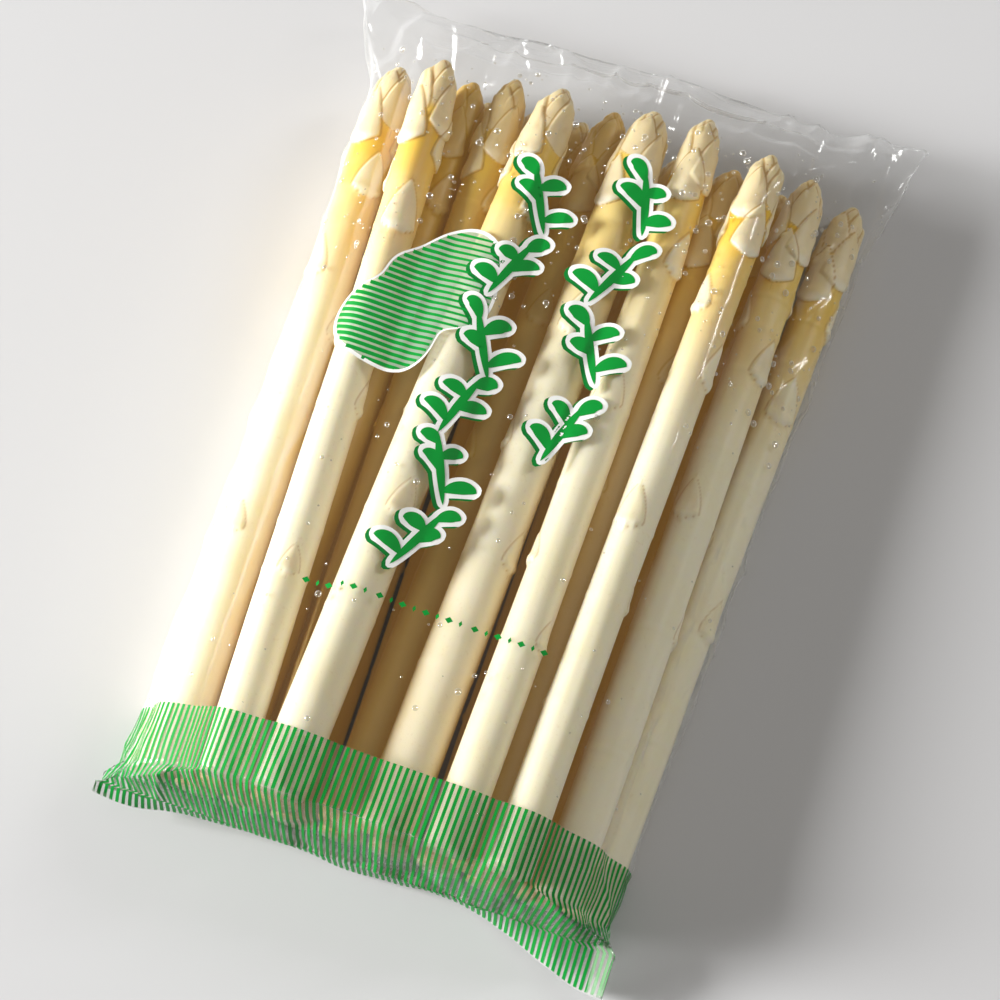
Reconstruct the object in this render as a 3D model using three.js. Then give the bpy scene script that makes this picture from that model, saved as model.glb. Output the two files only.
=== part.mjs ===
// A bundle of white asparagus: three layers of spears, held together in a film bag.
//
// Units are millimetres. The spears lie along Y, cut butts at -Y and tips at +Y, and the bag
// rests on its flat underside at Z = 0. The origin is the middle of the bag's footprint.

import * as THREE from "three";

// ---- Driving dimensions: the spears ----

const spearLength = 248;         // cut butt to the point of the tip
const buttDiameter = 16.4;       // mean diameter at the cut end
const neckDiameter = 14.6;       // mean diameter just under the tip
const tipLength = 27;            // the pointed bud, from its widest row to its point
const tipSwell = 1.04;           // the bud's widest row, against the neck
const budBluntness = 2.6;        // 2 rounds the bud like an egg, more keeps it full for longer
const cutChamfer = 0.8;          // worn edge of the cut end
const buttGap = 0.6;             // side room between neighbours at the butts
const tipGap = 0.6;              // and at the tips, where the bundle fans out

// ---- Driving dimensions: the film bag ----

const filmWall = 0.5;            // wall of the bag
const finLength = 9;             // pressed seal beyond the butts, lying on the surface
const finGather = 8;             // width that the seal loses where its corners are gathered
const mouthSlit = 1.2;           // free height between the two panels at the tip end
const mouthHeight = 13;          // level of that end above the surface
const headspace = 15;            // film beyond the longest tip
const endFaceLean = 3.5;         // run of the steep face that drops over the butts
const closingCurve = 1.8;        // how late the film turns down to its mouth; 1 is straight

// ---- Clearances ----

const restGap = 0.3;             // between one spear and the next, and between spear and film
const buttClearance = 1.2;       // between the cut ends and the face of the bag
const filmEase = 1.0;            // how far the film stands off the outermost spears
const budLag = 5;                // the film leaves the taper of a bud this much later
const seamParting = 0.2;         // free height left at the inner edge of the pressed seal

// ---- Resolution ----

const spearSides = 12;
const stemRows = 3;
const budRows = [0.25, 0.5, 0.72, 0.88, 0.97];
const filmPoints = 40;           // points round the bag
const dropSteps = 48;            // samples along a spear while it is lowered onto the pile
const bodyStations = 8;          // film sections along the straight part of the bundle
const closingStations = 6;       // and from there to the mouth, where the film closes

// ---- How the spears lie ----
// Places are counted in pitches from the middle, one pitch being a spear and its side room.
// "short" is how far a tip stops below the longest one, and "girth" scales the diameter.

const buttPitch = buttDiameter + buttGap;
const tipPitch = neckDiameter + tipGap;

const layers = {
  bottom: {
    butts: [-3.97, -3.09, -2.2, -1.32, -0.44, 0.44, 1.32, 2.2, 3.09, 3.97],
    tips: [-4.7, -3.78, -2.8, -1.8, -0.8, 0.2, 1.3, 2.4, 3.6, 5.1],
    short: [38, 6, 7, 5, 4, 8, 7, 6, 8, 5],
    girth: [0.88, 0.87, 0.88, 0.86, 0.89, 0.87, 0.86, 0.88, 0.87, 0.9],
  },
  middle: {
    butts: [-3.53, -2.56, -1.6, -0.4, 2, 3.47],
    tips: [-4.65, -3.1, -2.25, -0.13, 2.6, 4.15],
    short: [11, 8, 5, 3, 11, 5],
    girth: [1.02, 0.93, 0.9, 0.9, 0.95, 0.93],
  },
  top: {
    butts: [-2.45, -1.45, 0.42, 1.52, 2.6],
    tips: [-3.7, -1.2, 0.7, 1.8, 3.25],
    short: [9, 6, 3, 0, 7],
    girth: [0.92, 1.04, 1.1, 0.9, 0.88],
  },
};

// ---- Levels along the bag, from the edge of the seal to the tip end ----

const filmLength = finLength + endFaceLean + buttClearance + spearLength + headspace;
const sealEdge = -filmLength / 2;
const finRoot = sealEdge + finLength;
const faceTop = finRoot + endFaceLean;
const cutPlane = faceTop + buttClearance;
const longestTip = cutPlane + spearLength;
const shoulder = longestTip - tipLength;
const mouthEdge = longestTip + headspace;

// ---- One spear ----

// Radius of a spear at a distance from its cut end.
function spearRadius(spear, distance) {
  const bud = spear.length - tipLength;
  const butt = (spear.girth * buttDiameter) / 2;
  const neck = (spear.girth * neckDiameter) / 2;
  if (distance <= bud) return THREE.MathUtils.lerp(butt, neck, distance / bud);
  const along = (distance - bud) / tipLength;
  const swollen = neck * (1 + (tipSwell - 1) * Math.sin(Math.PI * Math.min(1, 2 * along)));
  return swollen * Math.sqrt(Math.max(0, 1 - along ** budBluntness));
}

// A lathed spear standing on the XZ plane, its tip up the Y axis.
function spearGeometry(spear) {
  const butt = spearRadius(spear, 0);
  const profile = [
    new THREE.Vector2(0, 0),
    new THREE.Vector2(butt - cutChamfer, 0),
    new THREE.Vector2(butt, cutChamfer),
  ];
  const bud = spear.length - tipLength;
  const rows = [];
  for (let row = 1; row <= stemRows; row += 1) rows.push((row / stemRows) * bud);
  for (const share of budRows) rows.push(bud + share * tipLength);
  for (const row of rows) profile.push(new THREE.Vector2(spearRadius(spear, row), row));
  profile.push(new THREE.Vector2(0, spear.length));
  return new THREE.LatheGeometry(profile, spearSides);
}

// ---- Lowering the spears onto one another ----

// Lengthwise slope and place of a spear's axis at a level along Y.
function axisAt(spear, level) {
  const share = (level - cutPlane) / (spear.tipLevel - cutPlane);
  return {
    x: THREE.MathUtils.lerp(spear.buttX, spear.tipX, share),
    z: THREE.MathUtils.lerp(spear.buttZ, spear.tipZ, share),
  };
}

function radiusAt(spear, level) {
  if (level < cutPlane || level > spear.tipLevel) return 0;
  const share = (level - cutPlane) / (spear.tipLevel - cutPlane);
  return spearRadius(spear, share * spear.length);
}

// Lowest height the axis may have at a level, above the film and every spear below.
function supportHeight(spear, level, pile) {
  const radius = radiusAt(spear, level);
  let height = filmWall + restGap + radius;
  for (const other of pile) {
    const otherRadius = radiusAt(other, level);
    if (otherRadius === 0) continue;
    const below = axisAt(other, level);
    const reach = radius + otherRadius + restGap;
    const aside = axisAt(spear, level).x - below.x;
    if (Math.abs(aside) < reach) {
      height = Math.max(height, below.z + Math.sqrt(reach ** 2 - aside ** 2));
    }
  }
  return height;
}

// A straight spear comes to rest on two points, one each side of its middle. They are the
// ends of the edge of the supports' upper hull that passes over the middle.
function lowerOnto(spear, pile) {
  const supports = [];
  for (let step = 0; step <= dropSteps; step += 1) {
    const level = THREE.MathUtils.lerp(cutPlane, spear.tipLevel, step / dropSteps);
    supports.push({ level, height: supportHeight(spear, level, pile) });
  }
  const hull = [];
  for (const point of supports) {
    while (hull.length > 1 && !turnsDown(hull.at(-2), hull.at(-1), point)) hull.pop();
    hull.push(point);
  }
  const middle = (cutPlane + spear.tipLevel) / 2;
  const after = hull.findIndex((point) => point.level > middle);
  const [near, far] = [hull[after - 1], hull[after]];
  const slope = (far.height - near.height) / (far.level - near.level);
  spear.buttZ = near.height + slope * (cutPlane - near.level);
  spear.tipZ = near.height + slope * (spear.tipLevel - near.level);
}

function turnsDown(a, b, c) {
  return (b.level - a.level) * (c.height - a.height) < (b.height - a.height) * (c.level - a.level);
}

function layBundle() {
  const pile = [];
  for (const [layer, lie] of Object.entries(layers)) {
    lie.butts.forEach((butt, index) => {
      const spear = {
        name: `spear_${layer}_${index + 1}`,
        girth: lie.girth[index],
        buttX: butt * buttPitch,
        tipX: lie.tips[index] * tipPitch,
        tipLevel: longestTip - lie.short[index],
      };
      spear.length = Math.hypot(spear.tipLevel - cutPlane, spear.tipX - spear.buttX);
      lowerOnto(spear, pile);
      pile.push(spear);
    });
  }
  return pile;
}

// ---- The film bag ----
// Every section of the bag is convex, so it is described by how far it reaches from the
// bag's axis in each direction. The film is wrapped round the pile, and pressed flat at its ends.

const directions = [];
for (let step = 0; step < filmPoints; step += 1) {
  const angle = (2 * Math.PI * step) / filmPoints;
  directions.push(new THREE.Vector2(Math.cos(angle), Math.sin(angle)));
}

// Up to the shoulder the film runs straight, as if no bud had begun.
function wrappedRadius(spear, level) {
  if (level > shoulder) return radiusAt(spear, level - budLag);
  const share = (Math.max(level, cutPlane) - cutPlane) / (spear.tipLevel - cutPlane);
  return spearRadius(spear, Math.min(share * spear.length, spear.length - tipLength));
}

function wrappedReach(pile, level, direction) {
  let reach = -Infinity;
  for (const spear of pile) {
    const radius = wrappedRadius(spear, level);
    if (radius === 0) continue;
    const centre = axisAt(spear, Math.max(level, cutPlane));
    reach = Math.max(reach, centre.x * direction.x + centre.z * direction.y + radius + filmEase);
  }
  return reach;
}

function flatReach(width, height, gap, direction) {
  return (width / 2) * Math.abs(direction.x) + height * direction.y + gap / 2;
}

// Width of the film wrapped at a level when it is pressed flat: half the girth of a convex
// section, which is pi times its mean reach.
function flatWidth(pile, level) {
  const reaches = directions.map((direction) => wrappedReach(pile, level, direction));
  return (Math.PI * reaches.reduce((sum, reach) => sum + reach, 0)) / filmPoints;
}

// Reach of the film's inner face at a level, between the cut ends and the mouth.
function filmReach(pile, level, direction) {
  if (level <= shoulder) return wrappedReach(pile, level, direction);
  const closing = ((level - shoulder) / (mouthEdge - shoulder)) ** closingCurve;
  const mouth = flatReach(flatWidth(pile, shoulder), mouthHeight, mouthSlit, direction);
  const eased = THREE.MathUtils.lerp(wrappedReach(pile, shoulder, direction), mouth, closing);
  return level < mouthEdge ? Math.max(eased, wrappedReach(pile, level, direction)) : eased;
}

// A ring of points: the corners where neighbouring tangents meet, none below the floor level.
function ring(level, floor, reachOf) {
  return directions.map((direction, step) => {
    const next = directions[(step + 1) % filmPoints];
    const [a, b] = [reachOf(direction), reachOf(next)];
    const spread = direction.x * next.y - direction.y * next.x;
    const x = (a * next.y - b * direction.y) / spread;
    const z = (b * direction.x - a * next.x) / spread;
    return new THREE.Vector3(x, level, Math.max(floor, z));
  });
}

function filmRings(pile, wall) {
  const levels = [];
  for (let step = 0; step <= bodyStations; step += 1) {
    levels.push(THREE.MathUtils.lerp(faceTop, shoulder, step / bodyStations));
  }
  for (let step = 1; step <= closingStations; step += 1) {
    levels.push(THREE.MathUtils.lerp(shoulder, mouthEdge, step / closingStations));
  }
  return levels.map((level, index) => {
    const shifted = index === 0 ? level + filmWall - wall : level;
    const floor = filmWall - wall;
    return ring(shifted, floor, (direction) => filmReach(pile, level, direction) + wall);
  });
}

function seamRing(pile, level, thickness) {
  const width = flatWidth(pile, faceTop) - finGather;
  return ring(level, 0, (direction) => flatReach(width, filmWall, thickness, direction));
}

// A closed skin: outside from the edge of the seal to the mouth, inside back to the seal.
function bagGeometry(pile) {
  const outside = [
    seamRing(pile, sealEdge, 2 * filmWall),
    seamRing(pile, finRoot, 2 * filmWall),
    ...filmRings(pile, filmWall),
  ];
  const inside = [
    seamRing(pile, finRoot + filmWall, seamParting),
    ...filmRings(pile, 0),
  ];
  const rings = [...outside, ...inside.reverse()];
  const positions = rings.flat().flatMap((point) => [point.x, point.y, point.z]);
  const faces = [];
  for (let index = 0; index + 1 < rings.length; index += 1) {
    for (let step = 0; step < filmPoints; step += 1) {
      const next = (step + 1) % filmPoints;
      const [a, b] = [index * filmPoints + step, index * filmPoints + next];
      const [c, d] = [a + filmPoints, b + filmPoints];
      faces.push(a, d, b, a, c, d);
    }
  }
  const last = (rings.length - 1) * filmPoints;
  for (let step = 1; step + 1 < filmPoints; step += 1) {
    faces.push(0, step, step + 1);
    faces.push(last, last + step + 1, last + step);
  }
  const geometry = new THREE.BufferGeometry();
  geometry.setAttribute("position", new THREE.Float32BufferAttribute(positions, 3));
  geometry.setIndex(faces);
  geometry.computeVertexNormals();
  return geometry;
}

// ---- Materials ----

const stemFinish = () => new THREE.MeshStandardMaterial({
  color: 0xf3e6bd,
  roughness: 0.45,
  metalness: 0,
});

const filmFinish = new THREE.MeshStandardMaterial({
  color: 0xf2f5f3,
  roughness: 0.12,
  metalness: 0,
  transparent: true,
  opacity: 0.3,
});

// ---- Assembly ----

function spearMesh(spear) {
  const mesh = new THREE.Mesh(spearGeometry(spear), stemFinish());
  mesh.name = spear.name;
  mesh.position.set(spear.buttX, cutPlane, spear.buttZ);
  const along = new THREE.Vector3(
    spear.tipX - spear.buttX,
    spear.tipLevel - cutPlane,
    spear.tipZ - spear.buttZ,
  );
  mesh.quaternion.setFromUnitVectors(new THREE.Vector3(0, 1, 0), along.normalize());
  return mesh;
}

const bundle = new THREE.Group();
const pile = layBundle();
for (const spear of pile) bundle.add(spearMesh(spear));

const bag = new THREE.Mesh(bagGeometry(pile), filmFinish);
bag.name = "film_bag";
bundle.add(bag);

export default bundle;
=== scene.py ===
# %% [markdown]
# # A bundle of white asparagus in a film bag
#
# Twenty-one blanched spears lie in layers, butts one way and buds the other. A clear film bag
# holds them: it is pressed into a seal beyond the butts and closed flat beyond the buds, and it
# carries green printing. The CAD frame says where each spear and the bag lie. This lesson gives
# the spears their scale leaves and skin, and the bag its creases, its gloss and its print.

# %% Load the frame
import math

import bpy
import numpy as np
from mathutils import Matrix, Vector


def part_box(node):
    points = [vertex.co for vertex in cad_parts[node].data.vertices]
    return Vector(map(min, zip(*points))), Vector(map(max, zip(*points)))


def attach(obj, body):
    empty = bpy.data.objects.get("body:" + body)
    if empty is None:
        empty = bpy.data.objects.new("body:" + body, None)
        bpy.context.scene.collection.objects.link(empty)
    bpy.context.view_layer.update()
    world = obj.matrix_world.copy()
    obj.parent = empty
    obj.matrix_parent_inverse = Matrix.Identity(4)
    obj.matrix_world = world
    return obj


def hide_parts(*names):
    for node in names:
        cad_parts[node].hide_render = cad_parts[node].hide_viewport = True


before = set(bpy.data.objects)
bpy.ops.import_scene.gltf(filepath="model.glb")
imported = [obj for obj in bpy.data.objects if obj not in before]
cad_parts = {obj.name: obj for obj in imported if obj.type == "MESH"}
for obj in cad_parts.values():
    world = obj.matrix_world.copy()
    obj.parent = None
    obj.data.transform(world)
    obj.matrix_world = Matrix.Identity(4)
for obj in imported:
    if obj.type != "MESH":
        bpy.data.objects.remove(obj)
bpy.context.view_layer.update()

# %% [markdown]
# ## Reading the frame
#
# A CAD spear is a plain tapered solid, so all a finer spear needs from it is its axis and its
# radius along that axis. Both are read off the node's vertices: the point is the vertex that
# reaches furthest, and the cut end is the ring that lies furthest back.

# %% Points of a CAD node
MM = 0.001


def node_points(node):
    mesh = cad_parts[node].data
    points = np.empty(3 * len(mesh.vertices))
    mesh.vertices.foreach_get("co", points)
    return np.unique(points.reshape(-1, 3).round(6), axis=0)


print("points on the bag's solid:", len(node_points("film_bag")))

# %% Measure each spear
BUD_LENGTH = 27 * MM
BUTT_ZONE = 2 * MM
RING_DEPTH = 0.2 * MM
LEVEL_REACH = 0.3 * MM


def measure_spear(node):
    """Axis, length and radius along the axis; the butt's middle settles in a few rounds."""
    points = node_points(node)
    point = points[points[:, 1].argmax()]
    butt = points[points[:, 1] < points[:, 1].min() + BUTT_ZONE].mean(axis=0)
    for _ in range(3):
        along = (point - butt) / np.linalg.norm(point - butt)
        reach = (points - butt) @ along
        ring = points[reach < reach.min() + RING_DEPTH]
        butt = ring[np.linalg.norm(ring - butt, axis=1) > MM].mean(axis=0)
    length = np.linalg.norm(point - butt)
    reach = (points - butt) @ along
    radius = np.linalg.norm(points - butt - np.outer(reach, along), axis=1)
    levels = sorted(set(reach.round(4)))
    girths = [radius[np.abs(reach - level) < LEVEL_REACH].max() for level in levels]
    return {"name": node, "butt": butt, "along": along, "length": length,
            "levels": np.array(levels), "radii": np.array(girths)}


spear_nodes = sorted(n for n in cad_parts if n.startswith("spear_"))
spears = [measure_spear(node) for node in spear_nodes]
for spear in spears[::5]:
    print(spear["name"], "length", round(spear["length"] / MM, 1),
          "radius", round(spear["radii"].max() / MM, 2))

# %% [markdown]
# ## Camera and light
#
# The bundle is seen from above and a little from its butt end, turned so that the spears lean
# to the right. A long lens keeps them nearly parallel. A bright panel stands low on the left, so
# every spear gets a lit and a shaded side and the bundle throws a long soft shadow. A weak wide
# panel and a dim, warm sky lift that shadow a little, and a narrow strip on the right draws thin
# glints along the film's folds.

# %% Camera
AZIMUTH, ELEVATION = math.radians(18.7), math.radians(70.4)
CAMERA_DISTANCE = 0.973
LENS = 116.6
AIM = Vector((4.3, -12.8, 17)) * MM

back = Vector((
    math.sin(AZIMUTH) * math.cos(ELEVATION),
    -math.cos(AZIMUTH) * math.cos(ELEVATION),
    math.sin(ELEVATION),
))
camera = bpy.data.objects.new("camera", bpy.data.cameras.new("camera"))
camera.data.lens = LENS
camera.location = AIM + CAMERA_DISTANCE * back
camera.rotation_mode = "QUATERNION"
camera.rotation_quaternion = (-back).to_track_quat("-Z", "Y")
camera.data.clip_start, camera.data.clip_end = 0.05, 20
bpy.context.scene.collection.objects.link(camera)
bpy.context.scene.camera = camera
print("camera at, mm:", [round(c / MM) for c in camera.location])

# %% Lights


def panel_light(name, place, size, watts, colour=(1, 1, 1)):
    light = bpy.data.lights.new(name, "AREA")
    light.shape = "RECTANGLE"
    light.size, light.size_y = size
    light.energy = watts
    light.color = colour
    lamp = bpy.data.objects.new(name, light)
    lamp.location = place
    lamp.rotation_mode = "QUATERNION"
    lamp.rotation_quaternion = (-Vector(place)).to_track_quat("-Z", "Y")
    bpy.context.scene.collection.objects.link(lamp)
    return lamp


panel_light("window", (-2.8, -0.7, 1.15), (0.95, 0.95), 206, (1, 0.99, 0.975))
panel_light("glint", (0.95, 0.75, 1.0), (0.04, 0.5), 4.5)
panel_light("ceiling", (0.3, -0.2, 1.8), (2.4, 2.4), 2, (1, 0.95, 0.88))

# %% Sky
world = bpy.data.worlds.new("studio")
world.use_nodes = True
world.node_tree.nodes["Background"].inputs["Color"].default_value = (1, 0.94, 0.86, 1)
world.node_tree.nodes["Background"].inputs["Strength"].default_value = 0.19
bpy.context.scene.world = world
bpy.context.scene.view_settings.view_transform = "Standard"
print("sky:", world.name)

# %% [markdown]
# ## A few helpers
#
# Every piece ends as a plain mesh made from arrays, and every material as a small node tree.
# These helpers keep both short: one turns arrays into a mesh object, and one adds a node, sets
# its inputs and links what feeds it. A smooth step and a smooth noise shape everything that has
# to fade or wander without an edge.

# %% Meshes from arrays


def mesh_object(name, points, faces, material=None):
    mesh = bpy.data.meshes.new(name)
    mesh.from_pydata(points, [], faces)
    mesh.validate()
    mesh.shade_smooth()
    piece = bpy.data.objects.new(name, mesh)
    bpy.context.scene.collection.objects.link(piece)
    if material is not None:
        mesh.materials.append(material)
    return piece


def grid_faces(rows, columns, closed=True):
    """Quads of a grid of points, row by row; closed joins the last column to the first."""
    last = columns if closed else columns - 1
    row, column = np.meshgrid(np.arange(rows - 1), np.arange(last), indexing="ij")
    a = row * columns + column
    b = row * columns + (column + 1) % columns
    return np.stack([a, b, b + columns, a + columns], axis=-1).reshape(-1, 4)


print("faces on a tube of 3 rings of 8 points:", len(grid_faces(3, 8)))

# %% Nodes
def add_node(tree, kind, links=(), **settings):
    """Adds a node; links gives, for each input, the socket that feeds it or its value."""
    node = tree.nodes.new(kind)
    for name, value in settings.items():
        setattr(node, name, value)
    for socket, source in dict(links).items():
        if hasattr(source, "is_output"):
            tree.links.new(source, node.inputs[socket])
        else:
            node.inputs[socket].default_value = source
    return node


def new_material(name):
    """A material with its tree and its Principled shader."""
    material = bpy.data.materials.new(name)
    material.use_nodes = True
    return material, material.node_tree, material.node_tree.nodes["Principled BSDF"]


print("a new material starts as", new_material("sample")[2].bl_label)
bpy.data.materials.remove(bpy.data.materials["sample"])

# %% Smooth steps and smooth noise
def smooth_step(low, high, value):
    share = np.clip((value - low) / (high - low), 0, 1)
    return share * share * (3 - 2 * share)


def value_noise(points, seed):
    """Smooth noise from -1 to 1 at points given in lattice units, one row each."""
    cell = np.floor(points).astype(np.int64)
    share = points - cell
    share = share * share * (3 - 2 * share)
    total = 0
    for corner in np.ndindex(*(2,) * points.shape[1]):
        key = np.full(len(points), seed, np.int64)
        weight = np.ones(len(points))
        for axis, step in enumerate(corner):
            key = (key * 1664525 + (cell[:, axis] + step) * 22695477 + 1013904223) % 4294967296
            key ^= key >> 13
            weight *= share[:, axis] if step else 1 - share[:, axis]
        total = total + weight * ((key * 2654435761 % 4294967296) / 2147483648 - 1)
    return total


print("noise at one spot:", round(float(value_noise(np.array([[0.3, 0.8]]), 1)[0]), 3))


# %% [markdown]
# ## The film
#
# Film that is wrapped round a bundle is pulled tight over its outermost spears and bridges the
# gaps between them, so each cross section is the convex outline of the spears there. A support
# function gives that outline: for each direction, how far the furthest spear reaches. At the
# butts the outline drops to a flat pressed seal, and past the buds it narrows to the closed end.
# The outline becomes a grid with one column per step of film, so a column is a thread that runs
# the length of the bag, and that is what the print follows later.

# %% Levels along the bag
bag_low, bag_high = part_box("film_bag")
FILM_LOWEST = 0.3 * MM
FILM_EASE = 0.6 * MM
BUD_LAG = 5 * MM
FACE_RUN = 6 * MM
CLOSING_CURVE = 1.7
SEAL_HALF_WIDTH = 81 * MM
SEAL_LEVEL = 14 * MM
SEAL_DROOP = 9 * MM
END_LEVEL = 13 * MM

cut_plane = min(spear["butt"][1] for spear in spears)
furthest_bud = max((spear["butt"] + spear["length"] * spear["along"])[1] for spear in spears)
face_top = cut_plane - 1.0 * MM
seal_root = face_top - FACE_RUN
seal_edge = bag_low[1]
shoulder = furthest_bud - BUD_LENGTH
closed_end = bag_high[1]
print("film levels, mm:", [round(v / MM, 1) for v in (seal_edge, face_top, shoulder, closed_end)])

# %% The spears in one cross section
FILM_WALL = 0.25 * MM
FIRST_LEVEL = 4 * MM
DIRECTIONS = np.linspace(-0.55 * math.pi, 1.45 * math.pi, 1440, endpoint=False)
FACING = np.stack([np.cos(DIRECTIONS), np.sin(DIRECTIONS)], axis=1)


def spear_discs(y, run_on):
    """Centres and radii of the spears at a level; run_on keeps the ones that end before it."""
    centres, radii = [], []
    for spear in spears:
        reach = (y - spear["butt"][1]) / spear["along"][1]
        if reach > spear["length"] and not run_on:
            continue
        held = np.clip(reach, FIRST_LEVEL, spear["length"] - BUD_LENGTH if run_on else reach)
        point = spear["butt"] + reach * spear["along"]
        centres.append((point[0], point[2]))
        radii.append(np.interp(held, spear["levels"], spear["radii"]))
    return np.array(centres).reshape(-1, 2), np.array(radii)


def discs_support(y, run_on=True):
    centres, radii = spear_discs(max(y, cut_plane + MM), run_on)
    if len(radii) == 0:
        return np.full(len(DIRECTIONS), -1.0)
    return (FACING @ centres.T + radii + FILM_EASE).max(axis=1)


middle = discs_support(0.0)
print("film across the middle, mm:", round((middle[FACING[:, 0].argmax()]
                                            + middle[FACING[:, 0].argmin()]) / MM, 1))

# %% The film's reach at any level
def flat_support(half_width, level):
    return (half_width * np.abs(FACING[:, 0]) + level * FACING[:, 1]
            + FILM_WALL * np.abs(FACING[:, 1]))


def film_support(y):
    if y < seal_root:
        return flat_support(SEAL_HALF_WIDTH, SEAL_LEVEL)
    if y < face_top:
        drop = (face_top - y) / FACE_RUN
        flat = flat_support(SEAL_HALF_WIDTH - 2 * MM, SEAL_LEVEL)
        return discs_support(face_top) * (1 - drop) + flat * drop
    if y < shoulder:
        return discs_support(y)
    share = ((y - shoulder) / (closed_end - shoulder)) ** CLOSING_CURVE
    closing = discs_support(shoulder) * (1 - share) + share * flat_support(bag_high[0], END_LEVEL)
    return np.maximum(closing, discs_support(y - BUD_LAG, run_on=False))


print("seal half width, mm:", round(film_support(seal_edge)[FACING[:, 0].argmax()] / MM, 1))

# %% Even columns round the film
def crossing(outline, run, start):
    """How far round the outline its first step over the middle plane lies."""
    x = outline[start:, 0]
    step = start + np.argmax(x[:-1] * x[1:] <= 0)
    before, after = outline[step, 0], outline[step + 1, 0]
    share = before / (before - after) if before != after else 0
    return run[step] + share * (run[step + 1] - run[step])


def film_ring(y, columns):
    support = film_support(y)
    slope = (np.roll(support, -1) - np.roll(support, 1)) / (2 * (DIRECTIONS[1] - DIRECTIONS[0]))
    outline = support[:, None] * FACING + slope[:, None] * FACING[:, ::-1] * (-1, 1)
    outline = np.vstack([outline, outline[:1]])
    run = np.concatenate([[0], np.cumsum(np.linalg.norm(np.diff(outline, axis=0), axis=1))])
    quarter = len(DIRECTIONS) // 4
    first, middle = crossing(outline, run, 0), crossing(outline, run, quarter)
    total = run[-1]
    steps = np.arange(columns // 2) / (columns // 2)
    marks = np.concatenate([first + (middle - first) * steps,
                            middle + (first + total - middle) * steps]) % total
    return np.stack([np.interp(marks, run, outline[:, 0]), np.full(columns, y),
                     np.interp(marks, run, outline[:, 1])], axis=1)


sample_ring = film_ring(0.0, 8)
print("bottom and top of the film at the middle, mm:", (sample_ring[[0, 4], 2] / MM).round(1))

# %% How deep inside the bundle a point lies
EVERY = 30
DEPTH_LEVELS = np.linspace(cut_plane + MM, furthest_bud, 60)
depth_facing = FACING[::EVERY]
depth_table = np.array([film_support(y)[::EVERY] for y in DEPTH_LEVELS])


def buried_depth(points):
    """Distance from each point to the nearest side of the bundle's outline."""
    depth = np.full(len(points), 1.0)
    for facing, reach in zip(depth_facing, depth_table.T):
        outline = np.interp(points[:, 1], DEPTH_LEVELS, reach)
        depth = np.minimum(depth, outline - points[:, [0, 2]] @ facing)
    return depth


core = np.array([[0, 0, bag_high[2] / 2]])
print("depth at the heart of the bundle, mm:", round(buried_depth(core)[0] / MM, 1))


# %% [markdown]
# ## Spears
#
# A spear is a stem that carries scale leaves in a spiral. Each leaf sits on a node, points to
# the bud and lies flat on the stem, and near the bud the leaves crowd until they overlap. One
# surface can hold all of it: a fine grid round the axis, raised wherever a leaf covers it.
# Overlapping leaves simply add up, which is how the closed bud gets its layers. The leaves are
# laid from the tip back, because an outer leaf hides the foot of the next one in. The same masks
# are stored on the mesh, so the material knows what is leaf, leaf edge or bare stem.

# %% Where the leaves sit
GOLDEN_TURN = math.radians(137.5)
BUD_LEAVES = (36, 31, 27, 24, 21, 18.2, 15.6, 13.2, 11, 9, 7, 5)
TUCKED_ABOVE = 22
STEM_LEAVES = (44, 58, 76, 98, 124, 154, 188)


def leaves_of(spear, random):
    """Level, length, half width, turn, thickness, edge softness and tuck of each scale leaf."""
    leaves = []
    turn = random.uniform(0, 2 * math.pi)
    for order, below in enumerate(reversed(STEM_LEAVES)):
        size = random.uniform(0.8, 1.15)
        level = spear["length"] - below * random.uniform(0.93, 1.07) * MM
        leaves.append((level, (9 + 0.9 * order) * size * MM, (3.4 + 0.35 * order) * size * MM,
                       turn, (0.36 + 0.02 * order) * MM, 0.5 * MM, False))
        turn += GOLDEN_TURN + random.uniform(-0.25, 0.25)
    for order, below in enumerate(BUD_LEAVES):
        size = random.uniform(0.92, 1.08)
        level = spear["length"] - below * random.uniform(0.96, 1.04) * MM
        length = min(17, 0.8 * below) * size * MM
        width = min(6.2, 0.25 * below + 1.4) * size * MM
        leaves.append((level, length, width, turn, 0.5 * MM, 0.35 * MM, below < TUCKED_ABOVE))
        turn += GOLDEN_TURN + random.uniform(-0.3, 0.3)
    return leaves


print("leaves on a spear:", len(STEM_LEAVES) + len(BUD_LEAVES))

# %% One leaf on the skin
SPUR = 0.2
VEIN_WIDTH = 0.55 * MM
STEM_CREASE, TUCKED_CREASE = 0.38 * MM, 0.45 * MM


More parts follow.
